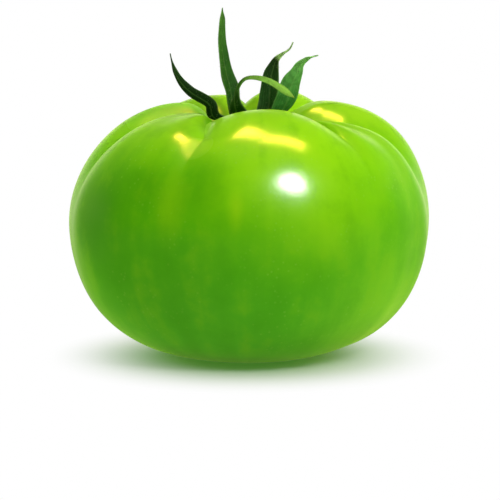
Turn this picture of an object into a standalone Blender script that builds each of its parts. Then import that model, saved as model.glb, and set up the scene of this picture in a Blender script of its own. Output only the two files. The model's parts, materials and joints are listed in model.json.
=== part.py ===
"""A green beefsteak tomato with its calyx and a stub of stem, for Blender 4.5.

Metres, +Z up. The origin lies under the middle of the fruit, on the flat spot that it
rests on. The front is -Y. Three pieces are built:

    fruit      one solid, seven lobes parted by grooves that run from stem to blossom end
    calyx      five sepals grown together on a hub in the hollow of the stem end
    stem_stub  what is left of the stem, standing on the hub
"""

import math

import bmesh
import bpy
import numpy as np
from mathutils import Matrix, Vector

MM = 0.001
FIT_GAP = 0.3 * MM

# Fruit
CREST_RADIUS = 46.2 * MM
EQUATOR_HEIGHT = 33.6 * MM
SHOULDER_RADIUS = 18.2 * MM
SHOULDER_RISE = 29.4 * MM
BELLY_DROP = 34.4 * MM
BELLY_FLATNESS = 0.27
LEAN_TO_RIGHT = 1.9 * MM
CAVITY_DEPTH = 8.8 * MM
PLATE_RADIUS = 6.5 * MM

# Share of the way from the stem end to the blossom end at which each stretch ends
PLATE_SHARE = 0.06
SHOULDER_SHARE = 0.20
EQUATOR_SHARE = 0.53

# Grooves: azimuth in degrees at the equator, how far it turns on the way to the stem, the
# shares between which it turns, its depth against the others', and the share by which only a
# shallow dip is left of it. 270 is the front, 0 the right-hand side.
GROOVES = (
    (2.0, -12.0, 0.18, 0.31, 1.0, 0.58),
    (47.0, 0.0, 0.1, 0.3, 1.2, 0.58),
    (97.0, 3.0, 0.1, 0.3, 0.7, 0.58),
    (153.0, 0.0, 0.1, 0.3, 1.2, 0.58),
    (190.0, 22.0, 0.08, 0.28, 0.5, 0.58),
    (244.0, -34.0, 0.08, 0.32, 0.85, 0.45),
    (318.0, 26.0, 0.08, 0.32, 0.7, 0.42),
)
# Lobes, each after the groove of the same place in the list: how far its shoulder stands
# above the mean, and its belly beyond the mean, in mm
LOBES = (
    (0.4, 3.1),
    (2.8, 0.2),
    (1.3, 0.3),
    (0.5, -0.7),
    (-1.5, -1.7),
    (0.3, -2.6),
    (-4.3, -3.4),
)
GROOVE_AT_SHOULDER = 4.4 * MM
GROOVE_AT_BELLY = 1.1 * MM
GROOVE_SHARPNESS = 2.8

SEGMENTS_PER_LOBE = 14
RINGS = 38

# Calyx and stem stub, measured from the hub's foot in the hollow
HUB_TO_RIGHT = 0.7 * MM
HUB_RADIUS = 4.6 * MM
HUB_TOP_RADIUS = 3.4 * MM
HUB_HEIGHT = 2.2 * MM
SEPAL_THICKNESS = 0.8 * MM
SEPAL_COLUMNS = 6
SEPAL_ROWS = 30
STEM_FOOT_RADIUS = 2.0 * MM
STEM_END_RADIUS = 1.7 * MM
STEM_LENGTH = 3.6 * MM
STEM_TILT = 6.0

# Each sepal: its spine from root to tip as x, y, z and the blade's width there, in mm, then
# the directions that the width lies in at the root, the middle and the tip, and how far the
# edges curl up, as a share of the width
SEPALS = {
    "left": (
        (
            (-2.2, -2.2, 1.5, 3.6),
            (-5.4, -4.4, 4.5, 3.6),
            (-9.3, -6.4, 6.2, 3.5),
            (-10.2, -7.4, 9.1, 3.0),
            (-12.5, -8.2, 10.8, 3.0),
            (-15.0, -8.8, 12.4, 2.6),
            (-17.1, -9.3, 14.5, 2.1),
            (-18.5, -9.6, 16.8, 1.5),
            (-19.4, -9.8, 19.2, 1.0),
            (-20.0, -9.9, 21.9, 0.6),
        ),
        ((0.7, -0.7, 0.0), (0.55, -0.35, 0.75), (0.7, -0.5, 0.2)),
        0.1,
    ),
    "tall": (
        (
            (-2.4, 2.2, 1.5, 4.2),
            (-3.6, 3.0, 4.4, 5.0),
            (-4.9, 3.6, 8.4, 5.2),
            (-5.5, 3.9, 12.1, 5.2),
            (-6.4, 4.3, 15.6, 4.7),
            (-7.2, 4.8, 19.6, 3.9),
            (-7.6, 5.4, 23.6, 2.7),
            (-7.5, 5.9, 28.1, 2.0),
            (-7.4, 6.2, 30.5, 1.8),
            (-7.3, 6.3, 32.4, 0.6),
        ),
        ((-0.65, -0.76, 0.0), (-0.65, -0.76, 0.0), (-0.8, -0.6, 0.0)),
        0.14,
    ),
    "arched": (
        (
            (-1.2, -3.0, 1.5, 5.2),
            (-2.5, -5.4, 5.0, 6.4),
            (-3.7, -7.2, 8.2, 5.8),
            (-3.9, -8.0, 10.8, 3.8),
            (-3.4, -8.7, 13.6, 2.4),
            (-1.6, -9.2, 15.7, 2.4),
            (1.3, -9.6, 16.1, 3.0),
            (4.5, -10.0, 15.3, 3.8),
            (7.7, -10.3, 13.4, 4.0),
            (9.6, -10.4, 11.8, 2.8),
            (10.4, -10.5, 11.0, 0.6),
        ),
        ((1.0, -0.25, 0.0), (0.3, -1.0, 0.0), (0.05, -0.95, -0.25), (-0.1, -0.8, -0.6)),
        0.1,
    ),
    "back_right": (
        (
            (1.7, 2.8, 1.5, 4.6),
            (3.2, 4.4, 4.6, 5.3),
            (4.4, 5.8, 7.7, 5.5),
            (4.7, 6.6, 11.5, 5.3),
            (5.0, 7.1, 14.7, 4.6),
            (5.6, 7.5, 17.2, 3.5),
            (6.3, 7.7, 19.2, 2.2),
            (7.8, 7.3, 20.7, 1.2),
            (9.5, 6.9, 22.0, 1.0),
            (10.4, 6.8, 23.8, 0.6),
        ),
        ((-0.85, 0.5, 0.0), (-0.85, 0.5, 0.0), (-0.5, 0.6, -0.5)),
        0.14,
    ),
    "right": (
        (
            (3.2, -1.0, 1.5, 4.2),
            (5.6, -1.1, 4.8, 5.0),
            (7.8, -1.4, 8.0, 5.6),
            (9.1, -1.8, 10.9, 5.8),
            (9.9, -2.2, 13.9, 5.2),
            (11.1, -2.5, 16.5, 3.4),
            (11.9, -2.6, 18.4, 2.4),
            (13.3, -2.7, 19.7, 1.5),
            (14.7, -2.7, 20.5, 1.1),
            (16.5, -2.7, 21.0, 0.6),
        ),
        ((0.6, 0.8, 0.0), (0.95, 0.3, 0.0), (0.9, 0.3, 0.3)),
        0.12,
    ),
}


def smoothstep(low, high, value):
    """0 below low, 1 above high, and a smooth rise between them."""
    t = min(max((value - low) / (high - low), 0.0), 1.0)
    return t * t * (3 - 2 * t)


def crest(share, rise=0.0, swell=0.0):
    """Radius and height of a lobe's crest at this share of the way from stem to blossom end."""
    shoulder_height = EQUATOR_HEIGHT + SHOULDER_RISE + rise
    if share < PLATE_SHARE:
        plate_height = EQUATOR_HEIGHT + SHOULDER_RISE - CAVITY_DEPTH
        return Vector((PLATE_RADIUS * share / PLATE_SHARE, plate_height))
    if share < SHOULDER_SHARE:
        climb = (share - PLATE_SHARE) / (SHOULDER_SHARE - PLATE_SHARE)
        radius = PLATE_RADIUS + (SHOULDER_RADIUS - PLATE_RADIUS) * climb
        return Vector((radius, shoulder_height - (CAVITY_DEPTH + rise) * (1 - climb) ** 2))
    if share < EQUATOR_SHARE:
        turn = (share - SHOULDER_SHARE) / (EQUATOR_SHARE - SHOULDER_SHARE) * math.pi / 2
        belly_radius = CREST_RADIUS + swell
        radius = SHOULDER_RADIUS + (belly_radius - SHOULDER_RADIUS) * math.sin(turn)
        height = (SHOULDER_RISE + rise) * math.cos(turn)
        return Vector((radius, EQUATOR_HEIGHT + height))
    turn = (share - EQUATOR_SHARE) / (1 - EQUATOR_SHARE) * math.pi / 2
    radius = (CREST_RADIUS + swell) * math.cos(turn)
    drop = BELLY_DROP * math.sin(turn) * (1 + BELLY_FLATNESS * math.cos(turn) ** 2)
    return Vector((radius, EQUATOR_HEIGHT - drop))


def crest_normal(share, rise, swell, step=0.004):
    """Outward normal of the crest's profile, as radius and height."""
    along = crest(min(share + step, 1.0), rise, swell) - crest(max(share - step, 0.0), rise, swell)
    return Vector((-along.y, along.x)).normalized()


def groove_depth(index, share):
    """Depth of a groove below the lobes' crests."""
    *_, depth_share, faded_by = GROOVES[index % len(GROOVES)]
    near_stem = smoothstep(PLATE_SHARE, SHOULDER_SHARE, share)
    fading = 1 - smoothstep(SHOULDER_SHARE + 0.02, faded_by, share)
    blossom_end = smoothstep(0.1, 0.45, 1 - share)
    return depth_share * near_stem * (
        GROOVE_AT_BELLY * blossom_end + (GROOVE_AT_SHOULDER - GROOVE_AT_BELLY) * fading
    )


def groove_azimuth(index, share):
    """Azimuth of a groove, which turns as it nears the stem."""
    at_equator, turn_to_stem, turn_from, turn_to, *_ = GROOVES[index % len(GROOVES)]
    laps = index // len(GROOVES)
    near_stem = 1 - smoothstep(turn_from, turn_to, share)
    return math.radians(at_equator + 360.0 * laps + turn_to_stem * near_stem)


def lobe_form(lobe, across):
    """Rise and swell at this share of the way across a lobe, blended with its neighbours'."""
    neighbour = lobe + (1 if across > 0.5 else -1)
    blend = 0.5 * smoothstep(0.0, 0.5, abs(across - 0.5))
    own, other = LOBES[lobe], LOBES[neighbour % len(LOBES)]
    return [(a + (b - a) * blend) * MM for a, b in zip(own, other)]


def fruit_point(direction):
    """The point of the fruit's skin that a point of the unit sphere moves to."""
    share = math.acos(max(-1.0, min(1.0, direction.z))) / math.pi
    turn = math.atan2(direction.y, direction.x) / math.tau % 1.0
    lobe = min(int(turn * len(GROOVES) + 1e-6), len(GROOVES) - 1)
    across = turn * len(GROOVES) - lobe
    start, end = groove_azimuth(lobe, share), groove_azimuth(lobe + 1, share)
    azimuth = start + (end - start) * across
    from_crest = abs(2 * across - 1)
    creased = from_crest**GROOVE_SHARPNESS
    rounded = math.sin(from_crest * math.pi / 2) ** 2
    softness = smoothstep(0.3, EQUATOR_SHARE, share)
    nearest = lobe + round(across)
    sunk = groove_depth(nearest, share) * (creased + (rounded - creased) * softness)
    rise, swell = lobe_form(lobe, across)
    radius, height = crest(share, rise, swell) - crest_normal(share, rise, swell) * sunk
    lean = HUB_TO_RIGHT + (LEAN_TO_RIGHT - HUB_TO_RIGHT) * smoothstep(
        PLATE_SHARE, SHOULDER_SHARE, share
    )
    lean *= 1 - smoothstep(SHOULDER_SHARE + 0.05, EQUATOR_SHARE, share)
    return Vector(
        (radius * math.cos(azimuth) + lean, radius * math.sin(azimuth), max(height, 0.0))
    )


def material(name, colour, roughness):
    """A plain material in one colour."""
    made = bpy.data.materials.new(name)
    made.use_nodes = True
    shader = made.node_tree.nodes["Principled BSDF"]
    shader.inputs["Base Color"].default_value = (*colour, 1.0)
    shader.inputs["Roughness"].default_value = roughness
    shader.inputs["Metallic"].default_value = 0.0
    return made


def build_fruit(collection):
    """A sphere whose longitude is shared out equally among the lobes."""
    form = bmesh.new()
    bmesh.ops.create_uvsphere(
        form,
        u_segments=SEGMENTS_PER_LOBE * len(GROOVES),
        v_segments=RINGS,
        radius=1.0,
    )
    for vert in form.verts:
        vert.co = fruit_point(vert.co.normalized())
    mesh = bpy.data.meshes.new("fruit")
    form.to_mesh(mesh)
    form.free()
    mesh.shade_smooth()
    mesh.materials.append(material("green_skin", (0.17, 0.45, 0.02), 0.3))
    fruit = bpy.data.objects.new("fruit", mesh)
    collection.objects.link(fruit)
    return fruit


def calyx_foot():
    """Middle of the hub's foot, just clear of the hollow's floor."""
    floor = EQUATOR_HEIGHT + SHOULDER_RISE - CAVITY_DEPTH
    return Vector((HUB_TO_RIGHT, 0.0, floor + FIT_GAP))


def along(rows, share):
    """A smooth curve through rows of numbers, at this share of the way through them."""
    place = share * (len(rows) - 1)
    first = min(int(place), len(rows) - 2)
    t = place - first
    steps = (max(first - 1, 0), first, first + 1, min(first + 2, len(rows) - 1))
    before, start, end, after = (np.array(rows[step]) for step in steps)
    return start + 0.5 * t * (
        end - before
        + t * (2 * before - 5 * start + 4 * end - after)
        + t * t * (3 * start - before - 3 * end + after)
    )


def sepal_point(spine, across, cup, side, share, step=0.01):
    """The point of a sepal's middle surface at side -1 to 1 and a share of its length."""
    *point, width = along(spine, share)
    ahead, behind = along(spine, min(share + step, 1.0)), along(spine, max(share - step, 0.0))
    forward = Vector((ahead - behind)[:3]).normalized()
    sideways = Vector(along(across, share))
    sideways = (sideways - forward * sideways.dot(forward)).normalized()
    inward = forward.cross(sideways)
    edge = sideways * side * width / 2 + inward * cup * width * side * side
    return (Vector(point) + edge) * MM


def build_sepal(name, spine, across, cup):
    """One blade: a grid laid along the sepal's spine and thickened."""
    form = bmesh.new()
    bmesh.ops.create_grid(form, x_segments=SEPAL_COLUMNS, y_segments=SEPAL_ROWS, size=1.0)
    for vert in form.verts:
        vert.co = sepal_point(spine, across, cup, vert.co.x, (vert.co.y + 1) / 2)
    bmesh.ops.triangulate(form, faces=form.faces)
    mesh = bpy.data.meshes.new(name)
    form.to_mesh(mesh)
    form.free()
    sepal = bpy.data.objects.new(name, mesh)
    blade = sepal.modifiers.new("blade", "SOLIDIFY")
    blade.thickness = SEPAL_THICKNESS
    blade.offset = 0.0
    return sepal


def cone(name, foot_radius, end_radius, height, segments):
    """A capped cone that stands on its own origin."""
    form = bmesh.new()
    bmesh.ops.create_cone(
        form,
        cap_ends=True,
        segments=segments,
        radius1=foot_radius,
        radius2=end_radius,
        depth=height,
        matrix=Matrix.Translation((0, 0, height / 2)),
    )
    mesh = bpy.data.meshes.new(name)
    form.to_mesh(mesh)
    form.free()
    return bpy.data.objects.new(name, mesh)


def build_calyx(collection):
    """The hub with its sepals joined to it as one body."""
    blades = bpy.data.collections.new("sepals")
    bpy.context.scene.collection.children.link(blades)
    for name, (spine, across, cup) in SEPALS.items():
        blades.objects.link(build_sepal(name, spine, across, cup))
    hub = cone("hub", HUB_RADIUS, HUB_TOP_RADIUS, HUB_HEIGHT, 32)
    collection.objects.link(hub)
    union = hub.modifiers.new("sepals", "BOOLEAN")
    union.operation = "UNION"
    union.operand_type = "COLLECTION"
    union.collection = blades
    bpy.context.view_layer.update()
    evaluated = hub.evaluated_get(bpy.context.evaluated_depsgraph_get())
    mesh = bpy.data.meshes.new_from_object(evaluated)
    for used in (hub, *blades.objects):
        bpy.data.objects.remove(used)
    bpy.data.collections.remove(blades)
    mesh.name = "calyx"
    mesh.shade_smooth()
    mesh.set_sharp_from_angle(angle=math.radians(50))
    mesh.materials.clear()
    mesh.materials.append(material("sepal_green", (0.03, 0.12, 0.012), 0.6))
    calyx = bpy.data.objects.new("calyx", mesh)
    calyx.location = calyx_foot()
    collection.objects.link(calyx)
    return calyx


def build_stem_stub(collection):
    """The snapped stem, leaning a little, just clear of the hub."""
    stub = cone("stem_stub", STEM_FOOT_RADIUS, STEM_END_RADIUS, STEM_LENGTH, 24)
    stub.data.shade_smooth()
    stub.data.set_sharp_from_angle(angle=math.radians(50))
    stub.data.materials.append(material("stem_green", (0.09, 0.22, 0.03), 0.65))
    lift = STEM_FOOT_RADIUS * math.sin(math.radians(STEM_TILT))
    stub.location = calyx_foot() + Vector((0, 0, HUB_HEIGHT + FIT_GAP + lift))
    stub.rotation_euler = (0.0, math.radians(STEM_TILT), 0.0)
    collection.objects.link(stub)
    return stub


def main():
    for old in list(bpy.data.objects):
        bpy.data.objects.remove(old)
    tomato = bpy.data.collections.new("green_tomato")
    bpy.context.scene.collection.children.link(tomato)
    build_fruit(tomato)
    build_calyx(tomato)
    build_stem_stub(tomato)


if __name__ == "__main__":
    main()
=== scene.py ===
"""A green beefsteak tomato on a pale floor, for Blender 4.5.

Metres, +Z up. The origin lies under the middle of the fruit, on the flat spot that it
rests on, and the front is -Y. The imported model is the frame, and each of its solids is
replaced by a finer piece of the same form.
"""

import json
import logging
import math
import random
from dataclasses import dataclass, field
from enum import Enum
from typing import Any

import bmesh
import bpy
import numpy as np
from mathutils import Matrix, Vector, noise

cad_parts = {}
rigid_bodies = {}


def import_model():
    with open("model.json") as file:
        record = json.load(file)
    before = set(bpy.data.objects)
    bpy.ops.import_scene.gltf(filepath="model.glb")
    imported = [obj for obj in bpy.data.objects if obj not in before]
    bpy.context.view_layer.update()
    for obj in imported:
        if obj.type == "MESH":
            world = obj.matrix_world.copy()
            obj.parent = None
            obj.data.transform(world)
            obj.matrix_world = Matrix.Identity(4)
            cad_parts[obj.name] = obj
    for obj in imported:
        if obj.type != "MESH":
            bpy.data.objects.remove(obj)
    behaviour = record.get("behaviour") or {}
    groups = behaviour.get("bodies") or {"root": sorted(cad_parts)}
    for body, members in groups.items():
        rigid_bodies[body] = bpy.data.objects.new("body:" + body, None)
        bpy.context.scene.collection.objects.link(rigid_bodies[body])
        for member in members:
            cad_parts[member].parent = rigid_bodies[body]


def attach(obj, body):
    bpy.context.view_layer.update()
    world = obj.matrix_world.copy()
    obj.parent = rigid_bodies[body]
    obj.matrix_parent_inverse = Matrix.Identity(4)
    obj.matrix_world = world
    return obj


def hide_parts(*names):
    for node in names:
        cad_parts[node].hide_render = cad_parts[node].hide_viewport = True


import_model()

LOG = logging.getLogger("green_tomato")
BODY = "root"
MM = 0.001

Triple = tuple[float, float, float]
Colour = Triple
Grid = np.ndarray
Piece = bpy.types.Object
Socket = bpy.types.NodeSocket


# Numbers and colours


def smoothstep(low: float, high: float, value: Any) -> Any:
    """0 below low, 1 above high, and a smooth rise between them."""
    t = np.clip((value - low) / (high - low), 0.0, 1.0)
    return t * t * (3 - 2 * t)


def linear(red: int, green: int, blue: int) -> Colour:
    """A colour given on the usual 0 to 255 scale, as Blender's linear values."""
    shares = (channel / 255 for channel in (red, green, blue))
    return tuple(c / 12.92 if c <= 0.04045 else ((c + 0.055) / 1.055) ** 2.4 for c in shares)


def metres(point: Triple) -> Triple:
    """A point given in mm, in metres."""
    return tuple(number * MM for number in point)


def along(rows: Grid, share: float) -> Grid:
    """A smooth curve through rows of numbers.

    Args:
        rows: One row of numbers for each knot of the curve.
        share: How far along the curve to look, from 0 to 1.

    Returns:
        The row of numbers at that place.
    """
    place = share * (len(rows) - 1)
    first = min(int(place), len(rows) - 2)
    t = place - first
    steps = (max(first - 1, 0), first, first + 1, min(first + 2, len(rows) - 1))
    before, start, end, after = (rows[step] for step in steps)
    return start + 0.5 * t * (
        end - before
        + t * (2 * before - 5 * start + 4 * end - after)
        + t * t * (3 * start - before - 3 * end + after)
    )


# Shader nodes


class Value:
    """A number in a material. Used in an expression, it adds the Math nodes for it."""

    def __init__(self, bench: "Bench", socket: Socket) -> None:
        """Wraps an output socket of one of the bench's nodes."""
        self.bench = bench
        self.socket = socket

    def _maths(self, operation: str, *terms: Any) -> "Value":
        """One Math node with these terms."""
        node = self.bench.node("ShaderNodeMath", {"operation": operation}, dict(enumerate(terms)))
        return Value(self.bench, node.outputs[0])

    def __add__(self, other: Any) -> "Value":
        """self + other, or other + self."""
        return self._maths("ADD", self, other)

    __radd__ = __add__

    def __sub__(self, other: Any) -> "Value":
        """self - other."""
        return self._maths("SUBTRACT", self, other)

    def __rsub__(self, other: Any) -> "Value":
        """other - self."""
        return self._maths("SUBTRACT", other, self)

    def __mul__(self, other: Any) -> "Value":
        """self * other, or other * self."""
        return self._maths("MULTIPLY", self, other)

    __rmul__ = __mul__

    def __abs__(self) -> "Value":
        """The size of self without its sign."""
        return self._maths("ABSOLUTE", self)

    def ping_pong(self, top: float) -> "Value":
        """Self folded to and fro between 0 and a top."""
        return self._maths("PINGPONG", self, top)

    def rise(self, low: float, high: float) -> "Value":
        """0 below low, 1 above high, and a smooth rise between them.

        Args:
            low: Where the rise starts. It may be the higher number.
            high: Where it ends.

        Returns:
            The share risen.
        """
        node = self.bench.node(
            "ShaderNodeMapRange",
            {"interpolation_type": "SMOOTHSTEP"},
            {"Value": self, "From Min": low, "From Max": high},
        )
        return Value(self.bench, node.outputs["Result"])


class Bench:
    """Lays out the nodes of one material or of the world, around its shader."""

    def __init__(self, owner: Any, shader: str = "Principled BSDF") -> None:
        """Starts on a new material or world.

        Args:
            owner: The material or world.
            shader: Its shader node's name.
        """
        self.owner = owner
        owner.use_nodes = True
        self.tree = owner.node_tree
        self.shader = self.tree.nodes[shader]

    def node(self, kind: str, settings: dict[str, Any], sockets: dict[Any, Any]) -> bpy.types.Node:
        """Adds one node.

        Args:
            kind: The node's type, as Blender names it.
            settings: Its properties. "stops" gives a colour ramp's places and colours.
            sockets: Values or links for its inputs, by name or number.

        Returns:
            The new node.
        """
        made = self.tree.nodes.new(kind)
        for name, setting in settings.items():
            if name == "stops":
                self._set_stops(made.color_ramp, setting)
            else:
                setattr(made, name, setting)
        for name, given in sockets.items():
            self.feed(made.inputs[name], given)
        return made

    def feed(self, socket: Socket, given: Any) -> None:
        """Links a Value or an output socket to an input, or sets the input's number.

        Args:
            socket: The input.
            given: The Value, output socket, number, vector or colour.
        """
        if isinstance(given, Value):
            given = given.socket
        if isinstance(given, Socket):
            self.tree.links.new(given, socket)
        elif socket.type == "RGBA":
            socket.default_value = (*given, 1.0)
        else:
            socket.default_value = given

    @staticmethod
    def _set_stops(ramp: bpy.types.ColorRamp, stops: tuple[tuple[float, Colour], ...]) -> None:
        """Gives a colour ramp these places and colours.

        Args:
            ramp: The colour ramp.
            stops: A place from 0 to 1 and a colour for each stop.
        """
        ramp.interpolation = "B_SPLINE"
        while len(ramp.elements) < len(stops):
            ramp.elements.new(1.0)
        for element, (place, colour) in zip(ramp.elements, stops):
            element.position = place
            element.color = (*colour, 1.0)

    def blend(self, share: Any, low: Any, high: Any, way: str = "MIX") -> Socket:
        """Mixes two colours.

        Args:
            share: How much of the second colour shows.
            low: The first colour.
            high: The second colour.
            way: The Mix node's blend type.

        Returns:
            The socket of the mixed colour.
        """
        settings = {"data_type": "RGBA", "blend_type": way, "clamp_factor": True}
        return self.node("ShaderNodeMix", settings, {0: share, 6: low, 7: high}).outputs[2]

    def place(self, kind: str = "Object") -> Socket:
        """The point's place on the object, in metres, or another kind of coordinates."""
        return self.node("ShaderNodeTexCoord", {}, {}).outputs[kind]

    def attribute(self, name: str) -> bpy.types.Node:
        """The node that reads one of the mesh's own attributes."""
        return self.node("ShaderNodeAttribute", {"attribute_name": name}, {})

    def noise(
        self, vector: Any, scale: float, detail: float = 3.0, roughness: float = 0.5
    ) -> Value:
        """Cloudy noise from 0 to 1 over a vector."""
        sockets = {"Vector": vector, "Scale": scale, "Detail": detail, "Roughness": roughness}
        return Value(self, self.node("ShaderNodeTexNoise", {}, sockets).outputs["Fac"])

    def distance(self, vector: Any, middle: Triple) -> Value:
        """How far a point lies from a middle."""
        node = self.node("ShaderNodeVectorMath", {"operation": "DISTANCE"}, {0: vector, 1: middle})
        return Value(self, node.outputs["Value"])

    def axis(self, vector: Any, name: str) -> Value:
        """One of a vector's three numbers."""
        node = self.node("ShaderNodeSeparateXYZ", {}, {"Vector": vector})
        return Value(self, node.outputs[name])

    def stretched(self, vector: Any, scale: Triple) -> Socket:
        """A vector stretched by its own scale on each axis."""
        sockets = {"Vector": vector, "Scale": scale}
        return self.node("ShaderNodeMapping", {}, sockets).outputs["Vector"]

    def relief(self, height: Value, distance: float) -> None:
        """Feeds a height to the shader's normal through a Bump node."""
        sockets = {"Height": height, "Distance": distance, "Strength": 1.0}
        self.feed(self.shader.inputs["Normal"], self.node("ShaderNodeBump", {}, sockets).outputs[0])

    def set(self, **numbers: Any) -> None:
        """Sets or links the shader's own sockets. An underscore stands for a space."""
        for name, given in numbers.items():
            self.feed(self.shader.inputs[name.replace("_", " ")], given)


# Finishes


@dataclass(frozen=True)
class Patch:
    """A soft-edged area of the skin with a colour laid over it. Its middle and reach are in mm."""

    middle: Triple
    reach: float
    strength: float
    colour: Colour
    tallness: float = 1.0


@dataclass(frozen=True)
class SkinFinish:
    """Waxy green skin: yellow-green at the shoulders, deeper below, streaked and mottled.

    The stops are its colours by height, from the blossom end up; the lighter green at the
    blossom end is partly the skin's own and partly painted light, bounced up from the floor.
    Some patches are the skin's own tone, others painted light and painted shade. Blooms are
    duller spots, each with its middle and reach in mm. The scales are in cells or clouds to
    the metre.
    """

    stops: tuple[tuple[float, Colour], ...] = (
        # The lighter green at the blossom end is partly painted light, bounced up from the floor.
        (0.0, (0.105, 0.460, 0.020)),
        (0.16, (0.068, 0.340, 0.008)),
        (0.40, (0.062, 0.330, 0.002)),
        (0.62, (0.075, 0.370, 0.001)),
        (0.78, (0.140, 0.470, 0.001)),
        (0.90, (0.230, 0.540, 0.004)),
        (1.0, (0.280, 0.570, 0.010)),
    )
    tone_and_light_patches: tuple[Patch, ...] = (
        # Painted light: a lighter yellow-green glow on the front lobe round the key light's glint.
        Patch((12, -34, 53), 36, 0.90, (0.250, 0.590, 0.002)),
        # Painted light: a lighter green on the right front, where the key light falls.
        Patch((34, -26, 38), 24, 0.25, (0.160, 0.520, 0.002)),
        # Painted shade: the darker left side, turned away from the lights.
        Patch((-38, -20, 41), 26, 0.75, (0.028, 0.190, 0.001)),
        Patch((36, 20, 30), 28, 0.30, (0.060, 0.300, 0.002)),
        # Painted light: lighter green low on the left, standing in for light bounced from the
        # floor.
        Patch((-44, -6, 16), 22, 0.60, (0.160, 0.480, 0.020)),
        # Painted light: lighter green low on the right, standing in for light bounced from the
        # floor.
        Patch((32, -24, 12), 30, 0.80, (0.170, 0.520, 0.012)),
        # Painted shade: darker green low in the left front groove.
        Patch((-13, -37, 48), 11, 0.55, (0.040, 0.270, 0.001)),
        Patch((-24, -34, 47), 9, 0.45, (0.030, 0.210, 0.001)),
        Patch((-19, -37, 42), 6, 0.40, (0.260, 0.540, 0.003), 2.4),
        # Painted highlight: a faint pale upright streak on the front lobe, standing in for a
        # reflection.
        Patch((-3, -42, 41), 3, 0.40, (0.300, 0.570, 0.003), 2.6),
        # Painted shade: less red and a greener tone here cancel the warm reflection that the dull
        # spot spreads on the back left shoulder.
        Patch((-19, 1, 62), 17, 0.70, (0.110, 0.500, 0.030)),
    )
    blooms: tuple[tuple[Triple, float], ...] = (((-19, 1, 62), 17), ((-12, -29, 54), 6))
    fruit_height: float = 65.5 * MM
    cloud_scale: float = 45.0
    mottle_scale: float = 110.0
    fleck_scale: float = 620.0
    grain_scale: float = 900.0
    grain_height: float = 0.02 * MM
    index_of_refraction: float = 1.2
    glow: float = 0.42
    glow_tint: Colour = (0.60, 1.0, 0.12)
    streak_dark: Colour = (0.035, 0.245, 0.001)
    streak_pale: Colour = (0.250, 0.540, 0.004)
    fleck: Colour = (0.260, 0.520, 0.070)
    cork: Colour = (0.34, 0.30, 0.12)
    scar: Colour = (0.16, 0.10, 0.035)

    def make(self) -> bpy.types.Material:
        """Builds the material.

        Returns:
            The new material.
        """
        bench = Bench(bpy.data.materials.new("waxy_green_skin"))
        place = bench.place()
        meridian = bench.attribute("meridian").outputs["Vector"]
        stem_end = Value(bench, bench.attribute("stem_end").outputs["Fac"])
        blossom_end = Value(bench, bench.attribute("blossom_end").outputs["Fac"])
        mottle = bench.noise(place, self.mottle_scale, 4.0, 0.6)
        colour = self._streaked(bench, self._shaded(bench, place), meridian, mottle)
        sockets = {"Vector": place, "Scale": self.fleck_scale}
        cells = bench.node("ShaderNodeTexVoronoi", {}, sockets)
        spot = Value(bench, cells.outputs["Distance"]).rise(0.26, 0.08)
        patchy = bench.noise(place, 70.0, 1.0).rise(0.42, 0.62)
        colour = bench.blend(spot * patchy * 0.19, colour, self.fleck)
        cracked = bench.noise(bench.stretched(meridian, (30.0, 30.0, 6.0)), 1.0, 4.0)
        colour = bench.blend(stem_end * cracked.rise(0.35, 0.62), colour, self.cork)
        colour = bench.blend(blossom_end, colour, self.scar)
        grain = bench.noise(place, self.grain_scale, 2.0) + mottle * 1.6
        bench.relief(grain + stem_end * cracked * 6.0, self.grain_height)
        rough = 0.17 + mottle * 0.06 + stem_end * 0.5 + blossom_end * 0.5
        for middle, reach in self.blooms:
            rough = rough + bench.distance(place, metres(middle)).rise(reach * MM, 0.0) * 0.4
        bench.set(Base_Color=colour, Roughness=rough, IOR=self.index_of_refraction)
        bench.set(Sheen_Weight=self.glow, Sheen_Roughness=0.35, Sheen_Tint=self.glow_tint)
        return bench.owner

    def _shaded(self, bench: Bench, place: Socket) -> Socket:
        """The skin's colour by height, with its patches of own tone, painted light and painted
        shade.

        Args:
            bench: The material's bench.
            place: The point's place.

        Returns:
            The colour's socket.
        """
        height = bench.axis(place, "Z") * (1 / self.fruit_height)
        cloud = bench.noise(place, self.cloud_scale, 2.0) - 0.5
        graded = height + cloud * 0.14
        colour = bench.node("ShaderNodeValToRGB", {"stops": self.stops}, {"Fac": graded}).outputs[0]
        for patch in self.tone_and_light_patches:
            x, y, z = metres(patch.middle)
            reach = patch.reach * MM
            squat = bench.stretched(place, (1.0, 1.0, 1 / patch.tallness))
            away = bench.distance(squat, (x, y, z / patch.tallness)) + cloud * (reach * 0.5)
            colour = bench.blend(away.rise(reach, 0.0) * patch.strength, colour, patch.colour)
        return colour

    def _streaked(self, bench: Bench, colour: Socket, meridian: Socket, mottle: Value) -> Socket:
        """The colour with dark and pale streaks that run from end to end of the fruit.

        Args:
            bench: The material's bench.
            colour: The colour so far.
            meridian: Direction round the fruit, and share of the way down it.
            mottle: Cloudy noise that breaks the streaks up.

        Returns:
            The colour's socket.
        """
        streaks = bench.noise(bench.stretched(meridian, (7.0, 7.0, 2.2)), 1.0)
        mixed = streaks * 0.4 + mottle * 0.6
        colour = bench.blend(mixed.rise(0.54, 0.34) * 0.26, colour, self.streak_dark)
        return bench.blend(mixed.rise(0.48, 0.66) * 0.19, colour, self.streak_pale)


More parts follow.
